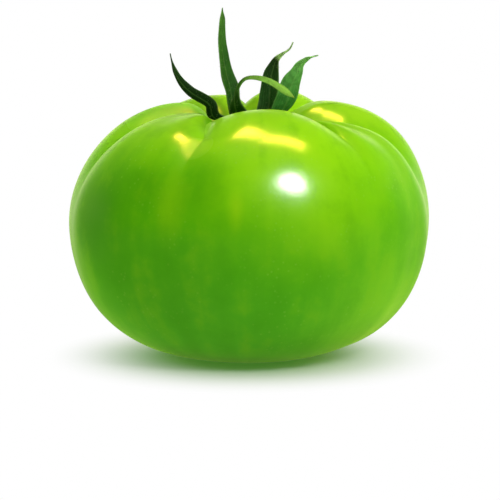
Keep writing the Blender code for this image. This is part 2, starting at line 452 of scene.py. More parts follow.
@dataclass(frozen=True)
class LeafFinish:
    """Sepal green: each blade's tone, with painted shade in the darker ones, fine lengthwise veins
    and paler edges.
    """

    vein: Colour = (0.16, 0.32, 0.07)
    deep: Colour = (0.008, 0.035, 0.004)
    vein_count: float = 9.0
    mottle_scale: float = 700.0
    vein_height: float = 0.12 * MM
    shine: float = 0.02

    def make(self) -> bpy.types.Material:
        """Builds the material.

        Returns:
            The new material.
        """
        bench = Bench(bpy.data.materials.new("sepal_leaf"))
        # The tones carry painted shade on the darker blades.
        tone = bench.attribute("tone").outputs["Color"]
        uv = bench.node("ShaderNodeUVMap", {"uv_map": "UVMap"}, {}).outputs["UV"]
        side = abs(bench.axis(uv, "X") * 2 - 1)
        mottle = bench.noise(bench.place(), self.mottle_scale, 4.0)
        waver = bench.noise(bench.stretched(uv, (2.0, 9.0, 1.0)), 1.0, 2.0)
        bands = side * (self.vein_count / 2) + waver * 0.7
        rib = bands.ping_pong(0.5).rise(0.12, 0.0)
        midrib = side.rise(0.13, 0.03)
        shaded = bench.blend(mottle.rise(0.60, 0.36) * 0.30, tone, self.deep)
        veined = bench.blend(rib * 0.12 + midrib * 0.20, shaded, self.vein, "SCREEN")
        colour = bench.blend(side.rise(0.86, 1.0) * 0.30, veined, self.vein, "SCREEN")
        bench.relief(mottle * 0.5 - rib * 0.5 - midrib * 0.8, self.vein_height)
        rough = 0.50 + mottle * 0.25
        bench.set(Base_Color=colour, Roughness=rough, Specular_IOR_Level=self.shine)
        return bench.owner


@dataclass(frozen=True)
class StemFinish:
    """Green stem, streaked lengthwise, with a pale snapped end."""

    green: Colour = (0.060, 0.160, 0.022)
    pale: Colour = (0.150, 0.300, 0.060)
    pith: Colour = (0.420, 0.460, 0.200)
    streak_height: float = 0.15 * MM
    shine: float = 0.04

    def make(self) -> bpy.types.Material:
        """Builds the material.

        Returns:
            The new material.
        """
        bench = Bench(bpy.data.materials.new("stem_rind"))
        place = bench.place()
        streak = bench.noise(bench.stretched(place, (1500.0, 1500.0, 260.0)), 1.0, 4.0)
        cut = Value(bench, bench.attribute("cut_end").outputs["Fac"])
        colour = bench.blend(streak.rise(0.3, 0.7), self.green, self.pale)
        colour = bench.blend(cut, colour, self.pith)
        bench.relief(streak + cut * bench.noise(place, 2600.0, 2.0), self.streak_height)
        rough = 0.62 + streak * 0.2
        bench.set(Base_Color=colour, Roughness=rough, Specular_IOR_Level=self.shine)
        return bench.owner


@dataclass(frozen=True)
class HairFinish:
    """Pale, nearly colourless plant hair."""

    pale: Colour = (0.30, 0.44, 0.20)
    root: Colour = (0.16, 0.30, 0.08)

    def make(self) -> bpy.types.Material:
        """Builds the material.

        Returns:
            The new material.
        """
        bench = Bench(bpy.data.materials.new("pale_hair"))
        along_hair = Value(bench, bench.attribute("length_share").outputs["Fac"])
        colour = bench.blend(along_hair, self.root, self.pale)
        bench.set(Base_Color=colour, Roughness=0.45, Specular_IOR_Level=0.04)
        return bench.owner


@dataclass(frozen=True)
class FloorFinish:
    """Plain pale studio floor, evenly bright but for a dim green oval of painted shadow round the
    fruit, where the lights' own shadow also falls.
    """

    near: Colour = (0.45, 0.45, 0.45)
    far: Colour = (0.0, 0.0, 0.0)
    painted_shadow_glow: Colour = (0.045, 0.140, 0.015)
    far_glow: Colour = (1.0, 1.0, 1.0)
    oval_from: float = 22 * MM
    oval_to: float = 66 * MM
    squeeze: Triple = (1.28, 1.1, 1.0)

    def make(self) -> bpy.types.Material:
        """Builds the material.

        Returns:
            The new material.
        """
        bench = Bench(bpy.data.materials.new("pale_floor"))
        place = bench.stretched(bench.place(), self.squeeze)
        away = bench.distance(place, (0.0, 0.0, 0.0)).rise(self.oval_from, self.oval_to)
        bench.set(Base_Color=bench.blend(away, self.near, self.far), Roughness=0.9)
        # Painted shadow: the glow fades from white to a dim green inside the squeezed oval.
        glow = bench.blend(away, self.painted_shadow_glow, self.far_glow)
        bench.set(Emission_Color=glow, Emission_Strength=1.0, Specular_IOR_Level=0.0)
        return bench.owner


# Modelling tools


def deselect() -> None:
    """Deselects everything, the frame's own pieces among it."""
    bpy.ops.object.select_all(action="DESELECT")


def pick(piece: Piece) -> None:
    """Selects this piece alone and makes it the active one.

    Args:
        piece: The object to work on.
    """
    deselect()
    piece.select_set(True)
    bpy.context.view_layer.objects.active = piece


def take(name: str) -> Piece:
    """Names the primitive that was just added and its mesh.

    Args:
        name: The name that both get.

    Returns:
        The primitive's object.
    """
    made = bpy.context.object
    made.name = name
    made.data.name = name
    return made


def read_points(piece: Piece) -> Grid:
    """Reads where a piece's vertices are.

    Args:
        piece: The mesh object.

    Returns:
        Their places, one row each.
    """
    flat = np.empty(len(piece.data.vertices) * 3)
    piece.data.vertices.foreach_get("co", flat)
    return flat.reshape(-1, 3)


def move_points(piece: Piece, points: Grid) -> None:
    """Puts a piece's vertices at new places."""
    piece.data.vertices.foreach_set("co", points.ravel())
    piece.data.update()


def record(piece: Piece, name: str, values: Grid) -> None:
    """Stores one number, vector or colour for each vertex as an attribute.

    Args:
        piece: The mesh object that gets it.
        name: The attribute's name.
        values: One number, or a row of three or four, for each vertex.
    """
    kinds = {1: ("FLOAT", "value"), 3: ("FLOAT_VECTOR", "vector"), 4: ("FLOAT_COLOR", "color")}
    kind, slot = kinds[1 if values.ndim == 1 else values.shape[1]]
    attribute = piece.data.attributes.new(name, kind, "POINT")
    attribute.data.foreach_set(slot, values.ravel())


def settle(piece: Piece) -> None:
    """Moves a piece's place, turn and size into its mesh."""
    pick(piece)
    bpy.ops.object.transform_apply(location=True, rotation=True, scale=True)


def apply_modifier(piece: Piece, kind: str, name: str, **settings: Any) -> None:
    """Adds a modifier with these settings to a piece and applies it.

    Args:
        piece: The mesh object.
        kind: The modifier's type, as Blender names it.
        name: The modifier's name.
        **settings: Its properties.
    """
    pick(piece)
    modifier = piece.modifiers.new(name, kind)
    for setting, value in settings.items():
        setattr(modifier, setting, value)
    bpy.ops.object.modifier_apply(modifier=name)


def round_edges(piece: Piece, width: float, segments: int) -> None:
    """Rounds the sharp edges of a piece."""
    limit = {"limit_method": "ANGLE", "angle_limit": math.radians(40)}
    apply_modifier(piece, "BEVEL", "rounding", width=width, segments=segments, **limit)


def add_cone(name: str, sides: int, radii: tuple[float, float], height: float) -> Piece:
    """Adds a closed cone that stands on the origin.

    Args:
        name: The object's name.
        sides: How many sides it has.
        radii: Its radius at the foot and at the top.
        height: Its height.

    Returns:
        The new object.
    """
    deselect()
    foot, top = radii
    bpy.ops.mesh.primitive_cone_add(
        vertices=sides, radius1=foot, radius2=top, depth=height, location=(0, 0, height / 2)
    )
    made = take(name)
    settle(made)
    return made


def hang(piece: Piece, finish: Any, node: str | None = None) -> Piece:
    """Dresses a piece and hangs it on the frame.

    Args:
        piece: The finished mesh object.
        finish: The finish whose material it gets.
        node: The frame's solid that it stands for, if any.

    Returns:
        The same object.
    """
    piece.data.materials.clear()
    piece.data.materials.append(finish.make())
    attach(piece, BODY)
    if node:
        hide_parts(node)
    LOG.info("%s: %d faces", piece.name, len(piece.data.polygons))
    return piece


# Fruit


@dataclass
class Fruit:
    """The fruit: seven lobes parted by grooves, from the stem's hollow to the blossom end.

    A share of 0 is the stem end and 1 the blossom end. Each groove has its azimuth at the
    equator, how far it turns on the way to the stem, the shares between which it turns, its
    depth against the others', and the share by which only a shallow dip is left of it. Each
    lobe has how far its shoulder stands above the mean and its belly beyond it.
    """

    crest_radius: float = 46.2 * MM
    equator_height: float = 33.6 * MM
    shoulder_radius: float = 18.2 * MM
    shoulder_rise: float = 29.4 * MM
    belly_drop: float = 34.4 * MM
    belly_flatness: float = 0.27
    lean_to_right: float = 1.9 * MM
    hub_to_right: float = 0.7 * MM
    cavity_depth: float = 8.8 * MM
    plate_radius: float = 6.5 * MM
    plate_share: float = 0.06
    shoulder_share: float = 0.20
    equator_share: float = 0.53
    grooves: tuple[tuple[float, float, float, float, float, float], ...] = (
        (2.0, -12.0, 0.18, 0.31, 1.0, 0.58), (47.0, 0.0, 0.1, 0.3, 1.2, 0.58),
        (97.0, 3.0, 0.1, 0.3, 0.7, 0.58), (153.0, 0.0, 0.1, 0.3, 1.2, 0.58),
        (190.0, 22.0, 0.08, 0.28, 0.5, 0.58), (244.0, -34.0, 0.08, 0.32, 0.85, 0.45),
        (318.0, 26.0, 0.08, 0.32, 0.7, 0.42),
    )
    lobes: tuple[tuple[float, float], ...] = (
        (0.4, 3.1), (2.8, 0.2), (1.3, 0.3), (0.5, -0.7),
        (-1.5, -1.7), (0.3, -2.6), (-4.3, -3.4),
    )
    groove_at_shoulder: float = 4.4 * MM
    groove_at_belly: float = 1.1 * MM
    groove_sharpness: float = 2.8
    segments_per_lobe: int = 40
    rings: int = 200
    groove_crowding: float = 0.55
    smoothing_passes: int = 6
    wobble: float = 0.16 * MM
    wobble_length: float = 13.0 * MM
    dimple_depth: float = 0.9 * MM
    dimple_radius: float = 8.0 * MM
    scar_radius: float = 1.7 * MM
    cork_radius: float = 7.6 * MM

    def crest(self, share: Grid, rise: Any, swell: Any) -> tuple[Grid, Grid]:
        """Radius and height of the lobes' crests at shares of the way from the stem.

        Args:
            share: The shares, as an array.
            rise: How far the shoulder stands above the mean.
            swell: How far the belly stands beyond the mean.

        Returns:
            The radii and the heights.
        """
        share, rise, swell = np.broadcast_arrays(share, rise, swell)
        top = self.equator_height + self.shoulder_rise + rise
        climb = (share - self.plate_share) / (self.shoulder_share - self.plate_share)
        climb = np.clip(climb, 0, 1)
        turn = (share - self.shoulder_share) / (self.equator_share - self.shoulder_share)
        turn = np.clip(turn, 0, 1) * math.pi / 2
        fall = (share - self.equator_share) / (1 - self.equator_share)
        fall = np.clip(fall, 0, 1) * math.pi / 2
        belly = self.crest_radius + swell
        ends = (self.plate_share, self.shoulder_share, self.equator_share)
        stretches = [share < end for end in ends]
        radii = [
            self.plate_radius * share / self.plate_share,
            self.plate_radius + (self.shoulder_radius - self.plate_radius) * climb,
            self.shoulder_radius + (belly - self.shoulder_radius) * np.sin(turn),
        ]
        plate = np.full(share.shape, self.equator_height + self.shoulder_rise - self.cavity_depth)
        heights = [
            plate,
            top - (self.cavity_depth + rise) * (1 - climb) ** 2,
            self.equator_height + (self.shoulder_rise + rise) * np.cos(turn),
        ]
        drop = self.belly_drop * np.sin(fall) * (1 + self.belly_flatness * np.cos(fall) ** 2)
        return (
            np.select(stretches, radii, belly * np.cos(fall)),
            np.select(stretches, heights, self.equator_height - drop),
        )

    def ring_shares(self) -> Grid:
        """Shares at which the rings lie, evenly spaced along the crest.

        Returns:
            One share for each ring, from the stem down.
        """
        dense = np.linspace(0.0, 1.0, 4001)
        radius, height = self.crest(dense, 0.0, 0.0)
        run = np.concatenate(([0.0], np.cumsum(np.hypot(np.diff(radius), np.diff(height)))))
        return np.interp(np.linspace(0.0, run[-1], self.rings + 1), run, dense)

    def groove_depth(self, index: Grid, share: Grid) -> Grid:
        """Depth below the crests of the grooves with these numbers at these shares.

        Args:
            index: The grooves' numbers. Past the last one they start again.
            share: The shares of the way from the stem.

        Returns:
            The depths.
        """
        rows = np.array(self.grooves)[index % len(self.grooves)]
        near_stem = smoothstep(self.plate_share, self.shoulder_share, share)
        fading = 1 - smoothstep(self.shoulder_share + 0.02, rows[..., 5], share)
        blossom_end = smoothstep(0.1, 0.45, 1 - share)
        extra = self.groove_at_shoulder - self.groove_at_belly
        return rows[..., 4] * near_stem * (self.groove_at_belly * blossom_end + extra * fading)

    def groove_azimuth(self, index: Grid, share: Grid) -> Grid:
        """Azimuth of the grooves with these numbers at these shares, in radians.

        Args:
            index: The grooves' numbers. Past the last one they start again.
            share: The shares of the way from the stem.

        Returns:
            The azimuths, which go on growing past a full turn.
        """
        table = np.array(self.grooves)
        laps, own = np.divmod(index, len(self.grooves))
        at_equator, turn, turn_from, turn_to, *_ = np.moveaxis(table[own], -1, 0)
        near_stem = 1 - smoothstep(turn_from, turn_to, share)
        return np.radians(at_equator + 360.0 * laps + turn * near_stem)

    def surface(self) -> tuple[Grid, Grid]:
        """Places of the skin's points and their azimuths, ring by ring from the stem.

        Returns:
            The places and the azimuths.
        """
        count = len(self.grooves)
        share = self.ring_shares()[:, None]
        turn = np.arange(self.segments_per_lobe * count) / self.segments_per_lobe
        lobe = turn.astype(int)[None, :]
        across = turn[None, :] - lobe
        across = across - self.groove_crowding * np.sin(math.tau * across) / math.tau
        start, end = self.groove_azimuth(lobe, share), self.groove_azimuth(lobe + 1, share)
        azimuth = start + (end - start) * across
        from_crest = np.abs(2 * across - 1)
        creased = from_crest**self.groove_sharpness
        rounded = np.sin(from_crest * math.pi / 2) ** 2
        softness = smoothstep(0.3, self.equator_share, share)
        nearest = lobe + np.round(across).astype(int)
        sunk = self.groove_depth(nearest, share) * (creased + (rounded - creased) * softness)
        neighbour = (lobe + np.where(across > 0.5, 1, -1)) % count
        mix = 0.5 * smoothstep(0.0, 0.5, np.abs(across - 0.5))[..., None]
        forms = np.array(self.lobes) * MM
        rise, swell = np.moveaxis(forms[lobe] + (forms[neighbour] - forms[lobe]) * mix, -1, 0)
        radius, height = self.crest(share, rise, swell)
        ahead = self.crest(np.minimum(share + 0.004, 1.0), rise, swell)
        behind = self.crest(np.maximum(share - 0.004, 0.0), rise, swell)
        slope = np.stack((-(ahead[1] - behind[1]), ahead[0] - behind[0]))
        slope /= np.linalg.norm(slope, axis=0)
        radius, height = radius - slope[0] * sunk, height - slope[1] * sunk
        past_plate = smoothstep(self.plate_share, self.shoulder_share, share)
        lean = self.hub_to_right + (self.lean_to_right - self.hub_to_right) * past_plate
        lean *= 1 - smoothstep(self.shoulder_share + 0.05, self.equator_share, share)
        x, y = radius * np.cos(azimuth) + lean, radius * np.sin(azimuth)
        return np.stack((x, y, np.maximum(height, 0.0)), axis=-1), azimuth

    def softened(self, points: Grid) -> Grid:
        """Evens out the bends between the profile's stretches, ring by ring.

        Args:
            points: The skin's points, which are changed.

        Returns:
            The same points.
        """
        for _ in range(self.smoothing_passes):
            points[1:-1] = (points[:-2] + 2 * points[1:-1] + points[2:]) / 4
        return points

    def weathered(self, points: Grid) -> Grid:
        """Adds the slight unevenness of a grown skin and the blossom end's dimple.

        Args:
            points: The skin's points.

        Returns:
            The new points.
        """
        middle = np.array((0.0, 0.0, self.equator_height))
        outward = points - middle
        outward /= np.linalg.norm(outward, axis=-1, keepdims=True)
        flat = points.reshape(-1, 3) / self.wobble_length
        swell = np.array([noise.noise(Vector(place)) for place in flat])
        swell = swell.reshape(points.shape[:2]) * smoothstep(0.0, 6.0 * MM, points[..., 2])
        points = points + outward * (swell * self.wobble)[..., None]
        radius = np.hypot(points[..., 0], points[..., 1])
        below = smoothstep(2 * MM, 0.0, points[..., 2])
        inside = 1 - smoothstep(0, self.dimple_radius, radius)
        points[..., 2] += self.dimple_depth * below * inside
        return points

    def build(self) -> Piece:
        """Builds the skin as one closed mesh and dresses it.

        Returns:
            The skin's object.
        """
        deselect()
        segments = self.segments_per_lobe * len(self.grooves)
        middle = (0.0, 0.0, self.equator_height)
        bpy.ops.mesh.primitive_uv_sphere_add(
            segments=segments, ring_count=self.rings, radius=self.crest_radius, location=middle
        )
        skin = take("fruit_skin")
        settle(skin)
        ball = read_points(skin) - middle
        ball /= np.linalg.norm(ball, axis=1, keepdims=True)
        ring = np.round(np.arccos(np.clip(ball[:, 2], -1, 1)) / math.pi * self.rings).astype(int)
        turn = np.arctan2(ball[:, 1], ball[:, 0]) / math.tau
        segment = np.round(turn * segments).astype(int) % segments
        points, azimuth = self.surface()
        points = self.weathered(self.softened(points))
        points[0] = points[0].mean(axis=0)
        points[-1] = points[-1].mean(axis=0)
        move_points(skin, points[ring, segment])
        share = np.broadcast_to(self.ring_shares()[:, None], azimuth.shape)
        meridian = np.stack((np.cos(azimuth), np.sin(azimuth), share), axis=-1)
        record(skin, "meridian", meridian[ring, segment])
        radius = np.hypot(points[..., 0] - self.hub_to_right, points[..., 1])
        cork = (share < 0.3) * smoothstep(self.cork_radius, self.cork_radius - 2.4 * MM, radius)
        record(skin, "stem_end", cork[ring, segment])
        scar = (share > 0.7) * smoothstep(self.scar_radius, self.scar_radius - 0.6 * MM, radius)
        record(skin, "blossom_end", scar[ring, segment])
        bpy.ops.object.shade_smooth()
        return hang(skin, SkinFinish(), "fruit")


# Calyx


@dataclass(frozen=True)
class Sepal:
    """One sepal.

    The spine's rows run from root to tip: x, y, z and the blade's width there, in mm from
    the hub's foot. The across rows are the directions that the width lies in, from root to
    tip. The cup is how far the edges curl up, as a share of the width. The tones' rows are
    a share of the blade's length and its red, green and blue there, from 0 to 255. The
    darkest tones are painted shade.
    """

    spine: tuple[tuple[float, float, float, float], ...]
    across: tuple[Triple, ...]
    cup: float
    tones: tuple[tuple[float, int, int, int], ...]
    ripple: float = 0.10
    ripple_phase: float = 0.0

    def tone(self, share: float) -> Colour:
        """The blade's colour at a share of its length.

        Args:
            share: The share, from 0 at the root to 1 at the tip.

        Returns:
            The colour.
        """
        places = [row[0] for row in self.tones]
        channels = zip(*(linear(*row[1:]) for row in self.tones))
        return tuple(float(np.interp(share, places, channel)) for channel in channels)


class SepalName(Enum):
    """The five sepals, by where they stand."""

    LEFT = "left"
    TALL = "tall"
    ARCHED = "arched"
    BACK_RIGHT = "back_right"
    RIGHT = "right"


SEPALS: dict[SepalName, Sepal] = {
    SepalName.LEFT: Sepal(
        spine=(
            (-2.2, -2.2, 1.5, 3.6), (-5.4, -4.4, 4.5, 3.6), (-9.3, -6.4, 6.2, 3.5),
            (-10.2, -7.4, 9.1, 3.0), (-12.5, -8.2, 10.8, 3.0), (-15.0, -8.8, 12.4, 2.6),
            (-17.1, -9.3, 14.5, 2.1), (-18.5, -9.6, 16.8, 1.5), (-19.4, -9.8, 19.2, 1.0),
            (-20.0, -9.9, 21.9, 0.6),
        ),
        across=((0.7, -0.7, 0.0), (0.55, -0.35, 0.75), (0.7, -0.5, 0.2)),
        cup=0.1,
        # Painted shade: the blade is dark green all along, as if in shade.
        tones=((0.0, 30, 66, 24), (0.25, 16, 46, 8), (0.6, 18, 46, 8), (1.0, 44, 78, 30)),
    ),
    SepalName.TALL: Sepal(
        spine=(
            (-2.4, 2.2, 1.5, 4.2), (-3.6, 3.0, 4.4, 5.0), (-4.9, 3.6, 8.4, 5.2),
            (-5.5, 3.9, 12.1, 5.2), (-6.4, 4.3, 15.6, 4.7), (-7.2, 4.8, 19.6, 3.9),
            (-7.6, 5.4, 23.6, 2.7), (-7.5, 5.9, 28.1, 2.0), (-7.4, 6.2, 30.5, 1.8),
            (-7.3, 6.3, 32.4, 0.6),
        ),
        across=((-0.65, -0.76, 0.0), (-0.65, -0.76, 0.0), (-0.8, -0.6, 0.0)),
        cup=0.14,
        tones=((0.0, 22, 48, 14), (0.3, 30, 80, 18), (0.6, 44, 98, 24), (1.0, 88, 144, 52)),
        ripple_phase=1.2,
    ),
    SepalName.ARCHED: Sepal(
        spine=(
            (-1.2, -3.0, 1.5, 5.2), (-2.5, -5.4, 5.0, 6.4), (-3.7, -7.2, 8.2, 5.8),
            (-3.9, -8.0, 10.8, 3.8), (-3.4, -8.7, 13.6, 2.4), (-1.6, -9.2, 15.7, 2.4),
            (1.3, -9.6, 16.1, 3.0), (4.5, -10.0, 15.3, 3.8), (7.7, -10.3, 13.4, 4.0),
            (9.6, -10.4, 11.8, 2.8), (10.4, -10.5, 11.0, 0.6),
        ),
        across=((1.0, -0.25, 0.0), (0.3, -1.0, 0.0), (0.05, -0.95, -0.25), (-0.1, -0.8, -0.6)),
        cup=0.1,
        tones=(
            (0.0, 20, 60, 10), (0.32, 30, 66, 14), (0.46, 56, 104, 28),
            (0.62, 106, 162, 58), (0.9, 130, 182, 62), (1.0, 156, 172, 72),
        ),
        ripple=0.04,
    ),
    SepalName.BACK_RIGHT: Sepal(
        spine=(
            (1.7, 2.8, 1.5, 4.6), (3.2, 4.4, 4.6, 5.3), (4.4, 5.8, 7.7, 5.5),
            (4.7, 6.6, 11.5, 5.3), (5.0, 7.1, 14.7, 4.6), (5.6, 7.5, 17.2, 3.5),
            (6.3, 7.7, 19.2, 2.2), (7.8, 7.3, 20.7, 1.2), (9.5, 6.9, 22.0, 1.0),
            (10.4, 6.8, 23.8, 0.6),
        ),
        across=((-0.85, 0.5, 0.0), (-0.85, 0.5, 0.0), (-0.5, 0.6, -0.5)),
        cup=0.14,
        # Painted shade: the upper blade is dark green, as if in shade, up to its pale tip.
        tones=(
            (0.0, 26, 60, 22), (0.3, 38, 84, 30), (0.45, 30, 66, 20),
            (0.66, 20, 48, 12), (0.72, 146, 190, 106), (1.0, 150, 182, 118),
        ),
        ripple_phase=2.4,
    ),
    SepalName.RIGHT: Sepal(
        spine=(
            (3.2, -1.0, 1.5, 4.2), (5.6, -1.1, 4.8, 5.0), (7.8, -1.4, 8.0, 5.6),
            (9.1, -1.8, 10.9, 5.8), (9.9, -2.2, 13.9, 5.2), (11.1, -2.5, 16.5, 3.4),
            (11.9, -2.6, 18.4, 2.4), (13.3, -2.7, 19.7, 1.5), (14.7, -2.7, 20.5, 1.1),
            (16.5, -2.7, 21.0, 0.6),
        ),
        across=((0.6, 0.8, 0.0), (0.95, 0.3, 0.0), (0.9, 0.3, 0.3)),
        cup=0.12,
        tones=((0.0, 38, 92, 30), (0.3, 56, 120, 46), (0.6, 102, 172, 80), (1.0, 132, 190, 98)),
        ripple_phase=4.1,
    ),
}


@dataclass
class Calyx:
    """Five sepals grown together on a hub in the hollow of the stem end."""

    foot: Triple = (0.7 * MM, 0.0, 54.5 * MM)
    hub_radius: float = 4.6 * MM
    hub_top_radius: float = 3.4 * MM
    hub_height: float = 2.2 * MM
    columns: int = 14
    rows: int = 90
    root_thickness: float = 0.75 * MM
    rib_height: float = 0.16 * MM
    tip_width: float = 0.22
    hub_tone: Colour = linear(58, 104, 36)
    sepals: dict[SepalName, Sepal] = field(default_factory=lambda: SEPALS)

    def blade_point(self, sepal: Sepal, side: float, share: float) -> Vector:
        """The point of a blade's middle surface.

        Args:
            sepal: The sepal.
            side: From -1 at one edge to 1 at the other.
            share: The share of the blade's length.

        Returns:
            The point, in metres from the hub's foot.
        """
        spine = np.array(sepal.spine)
        *point, width = along(spine, share)
        ahead = along(spine, min(share + 0.01, 1.0))
        behind = along(spine, max(share - 0.01, 0.0))
        forward = Vector((ahead - behind)[:3]).normalized()
        sideways = Vector(along(np.array(sepal.across), share))
        sideways = (sideways - forward * sideways.dot(forward)).normalized()
        inward = forward.cross(sideways)
        width *= 1 - (1 - self.tip_width) * float(smoothstep(0.80, 1.0, share))
        wave = math.sin(share * 21.0 + sepal.ripple_phase + side * 0.9)
        lift = sepal.cup * side * side + sepal.ripple * wave * abs(side) ** 3 * 0.5
        rib = self.rib_height / MM * math.exp(-((side / 0.14) ** 2)) * (1 - share)
        return (Vector(point) + sideways * side * width / 2 + inward * (lift * width - rib)) * MM

    def build_blade(self, name: SepalName) -> Piece:
        """Models one sepal from a grid laid along its spine.

        Args:
            name: Which sepal it is.

        Returns:
            The blade's object.
        """
        sepal = self.sepals[name]
        deselect()
        bpy.ops.mesh.primitive_grid_add(
            x_subdivisions=self.columns, y_subdivisions=self.rows, size=2.0, calc_uvs=True
        )
        blade = take(f"sepal_{name.value}")
        sheet = read_points(blade)
        shares = (sheet[:, 1] + 1) / 2
        points = [self.blade_point(sepal, x, v) for x, v in zip(sheet[:, 0], shares)]
        move_points(blade, np.array(points) + np.array(self.foot))
        fullness = (1 - smoothstep(0.55, 1.0, np.abs(sheet[:, 0])) * 0.7) * (1 - 0.62 * shares)
        group = blade.vertex_groups.new(name="fullness")
        for index, weight in enumerate(fullness):
            group.add([index], float(weight), "REPLACE")
        wall = {"thickness": self.root_thickness, "offset": 0.0, "vertex_group": "fullness"}
        apply_modifier(blade, "SOLIDIFY", "thickness", thickness_vertex_group=0.12, **wall)
        return blade

    def build_hub(self) -> Piece:
        """Models the hub, with a rounded rim.

        Returns:
            The hub's object.
        """
        radii = (self.hub_radius, self.hub_top_radius)
        hub = add_cone("calyx_leaves", 60, radii, self.hub_height)
        hub.location = self.foot
        settle(hub)
        round_edges(hub, 0.5 * MM, 4)
        return hub

    def paint(self, leaves: Piece) -> None:
        """Gives each point of the calyx the tone of the nearest place on a sepal's spine.

        Args:
            leaves: The calyx's object.
        """
        shares = np.linspace(0.0, 1.0, self.rows)
        spots = [
            (along(np.array(sepal.spine), share)[:3], sepal.tone(share))
            for sepal in self.sepals.values()
            for share in shares
        ]
        knots, tones = (np.array(column) for column in zip(*spots))
        points = (read_points(leaves) - self.foot) / MM
        nearest = np.linalg.norm(points[:, None] - knots, axis=2).argmin(axis=1)
        on_hub = smoothstep(1.2, 0.9, points[:, 2] * MM / self.hub_height)[:, None]
        painted = tones[nearest] + (np.array(self.hub_tone) - tones[nearest]) * on_hub
        record(leaves, "tone", np.column_stack((painted, np.ones(len(painted)))))

    def build(self) -> Piece:
        """Builds the calyx as one closed mesh and dresses it.

        Returns:
            The calyx's object.
        """
        hub = self.build_hub()
        blades = bpy.data.collections.new("blades")
        bpy.context.scene.collection.children.link(blades)
        for name in SepalName:
            blade = self.build_blade(name)
            for home in list(blade.users_collection):
                home.objects.unlink(blade)
            blades.objects.link(blade)
        union = {"operation": "UNION", "operand_type": "COLLECTION", "collection": blades}
        apply_modifier(hub, "BOOLEAN", "grown_together", **union)
        for blade in list(blades.objects):
            bpy.data.objects.remove(blade)
        bpy.data.collections.remove(blades)
        self.paint(hub)
        bpy.ops.object.shade_smooth_by_angle(angle=math.radians(50))
        return hang(hub, LeafFinish(), "calyx")


# Stem


@dataclass
class StemStub:
    """What is left of the stem: a short ribbed stub that leans a little, snapped off."""

    calyx: Calyx
    foot_radius: float = 2.0 * MM
    end_radius: float = 1.7 * MM
    length: float = 3.6 * MM
    tilt: float = 6.0
    gap: float = 0.3 * MM
    ribs: int = 5
    rib_share: float = 0.05

    def build(self) -> Piece:
        """Builds the stub and dresses it.

        Returns:
            The stub's object.
        """
        x, y, z = self.calyx.foot
        lift = self.foot_radius * math.sin(math.radians(self.tilt))
        foot = z + self.calyx.hub_height + self.gap + lift
        radii = (self.foot_radius, self.end_radius)
        stub = add_cone("stem_end", 60, radii, self.length)
        round_edges(stub, 0.25 * MM, 3)
        self._cut_rings(stub)
        points = read_points(stub)
        turn = np.arctan2(points[:, 1], points[:, 0])
        ribbed = 1 - self.rib_share * (0.5 + 0.5 * np.cos(turn * self.ribs))
        waist = 1 - 0.10 * np.sin(np.clip(points[:, 2] / self.length, 0, 1) * math.pi)
        points[:, :2] *= (ribbed * waist)[:, None]
        radius = np.hypot(points[:, 0], points[:, 1]) / self.end_radius
        at_end = smoothstep(0.97 * self.length, self.length, points[:, 2])
        cut = at_end * smoothstep(1.0, 0.86, radius)
        uneven = np.array([noise.noise(Vector(place) / (0.7 * MM)) for place in points])
        dip = 0.35 * MM * smoothstep(0.9, 0.2, radius)
        points[:, 2] -= cut * (dip + 0.12 * MM * np.abs(uneven))
        move_points(stub, points)
        record(stub, "cut_end", cut)
        stub.rotation_euler = (0.0, math.radians(self.tilt), 0.0)
        stub.location = (x, y, foot)
        settle(stub)
        bpy.ops.object.shade_smooth_by_angle(angle=math.radians(50))
        return hang(stub, StemFinish(), "stem_stub")

    def _cut_rings(self, stub: Piece) -> None:
        """Insets the snapped end ring by ring and closes it in the middle.

        Args:
            stub: The stub's object.
        """
        bpy.ops.object.mode_set(mode="EDIT")
        form = bmesh.from_edit_mesh(stub.data)
        for face in form.faces:
            high = face.calc_center_median().z > 0.9 * self.length
            face.select_set(high and face.normal.z > 0.99)
        bmesh.update_edit_mesh(stub.data)
        for _ in range(4):
            bpy.ops.mesh.inset(thickness=0.28 * MM)
        bpy.ops.mesh.poke()
        bpy.ops.object.mode_set(mode="OBJECT")


# Hairs


@dataclass
class Hairs:
    """Short plant hairs on the calyx and the stem."""

    count: int = 1300
    shortest: float = 0.25 * MM
    longest: float = 0.75 * MM
    thickness: float = 0.038 * MM
    lean: float = 0.45
    seed: int = 7

    def build(self, carriers: list[Piece]) -> Piece:
        """Builds all hairs as one mesh.

        Args:
            carriers: The pieces that they grow on.

        Returns:
            The mesh of all the hairs.
        """
        dice = random.Random(self.seed)
        hairs = add_cone("calyx_hairs", 3, (0.5, 0.12), 1.0)
        pattern = read_points(hairs)
        sides = [list(face.vertices) for face in hairs.data.polygons]
        faces = [
            (carrier.data, polygon) for carrier in carriers for polygon in carrier.data.polygons
        ]
        chosen = dice.choices(faces, weights=[polygon.area for _, polygon in faces], k=self.count)
        places: list[Grid] = []
        for mesh, polygon in chosen:
            corners = [mesh.vertices[index].co for index in polygon.vertices]
            weights = [dice.random() for _ in corners]
            root = sum((c * w for c, w in zip(corners, weights)), Vector()) / sum(weights)
            tilt = Vector([dice.gauss(0.0, self.lean) for _ in range(3)])
            direction = (polygon.normal + tilt).normalized()
            turn = direction.to_track_quat("Z", "Y").to_matrix()
            length = dice.uniform(self.shortest, self.longest)
            sized = pattern * (self.thickness, self.thickness, length)
            sized[:, 2] -= 0.05 * MM
            places.append(sized @ np.array(turn).T + np.array(root))
        mesh = bpy.data.meshes.new("calyx_hairs")
        step = len(pattern)
        shells = [[i * step + v for v in side] for i in range(self.count) for side in sides]
        mesh.from_pydata(np.concatenate(places).tolist(), [], shells)
        hairs.data = mesh
        record(hairs, "length_share", np.tile(pattern[:, 2], self.count))
        bpy.ops.object.shade_smooth()
        return hang(hairs, HairFinish())


# Studio


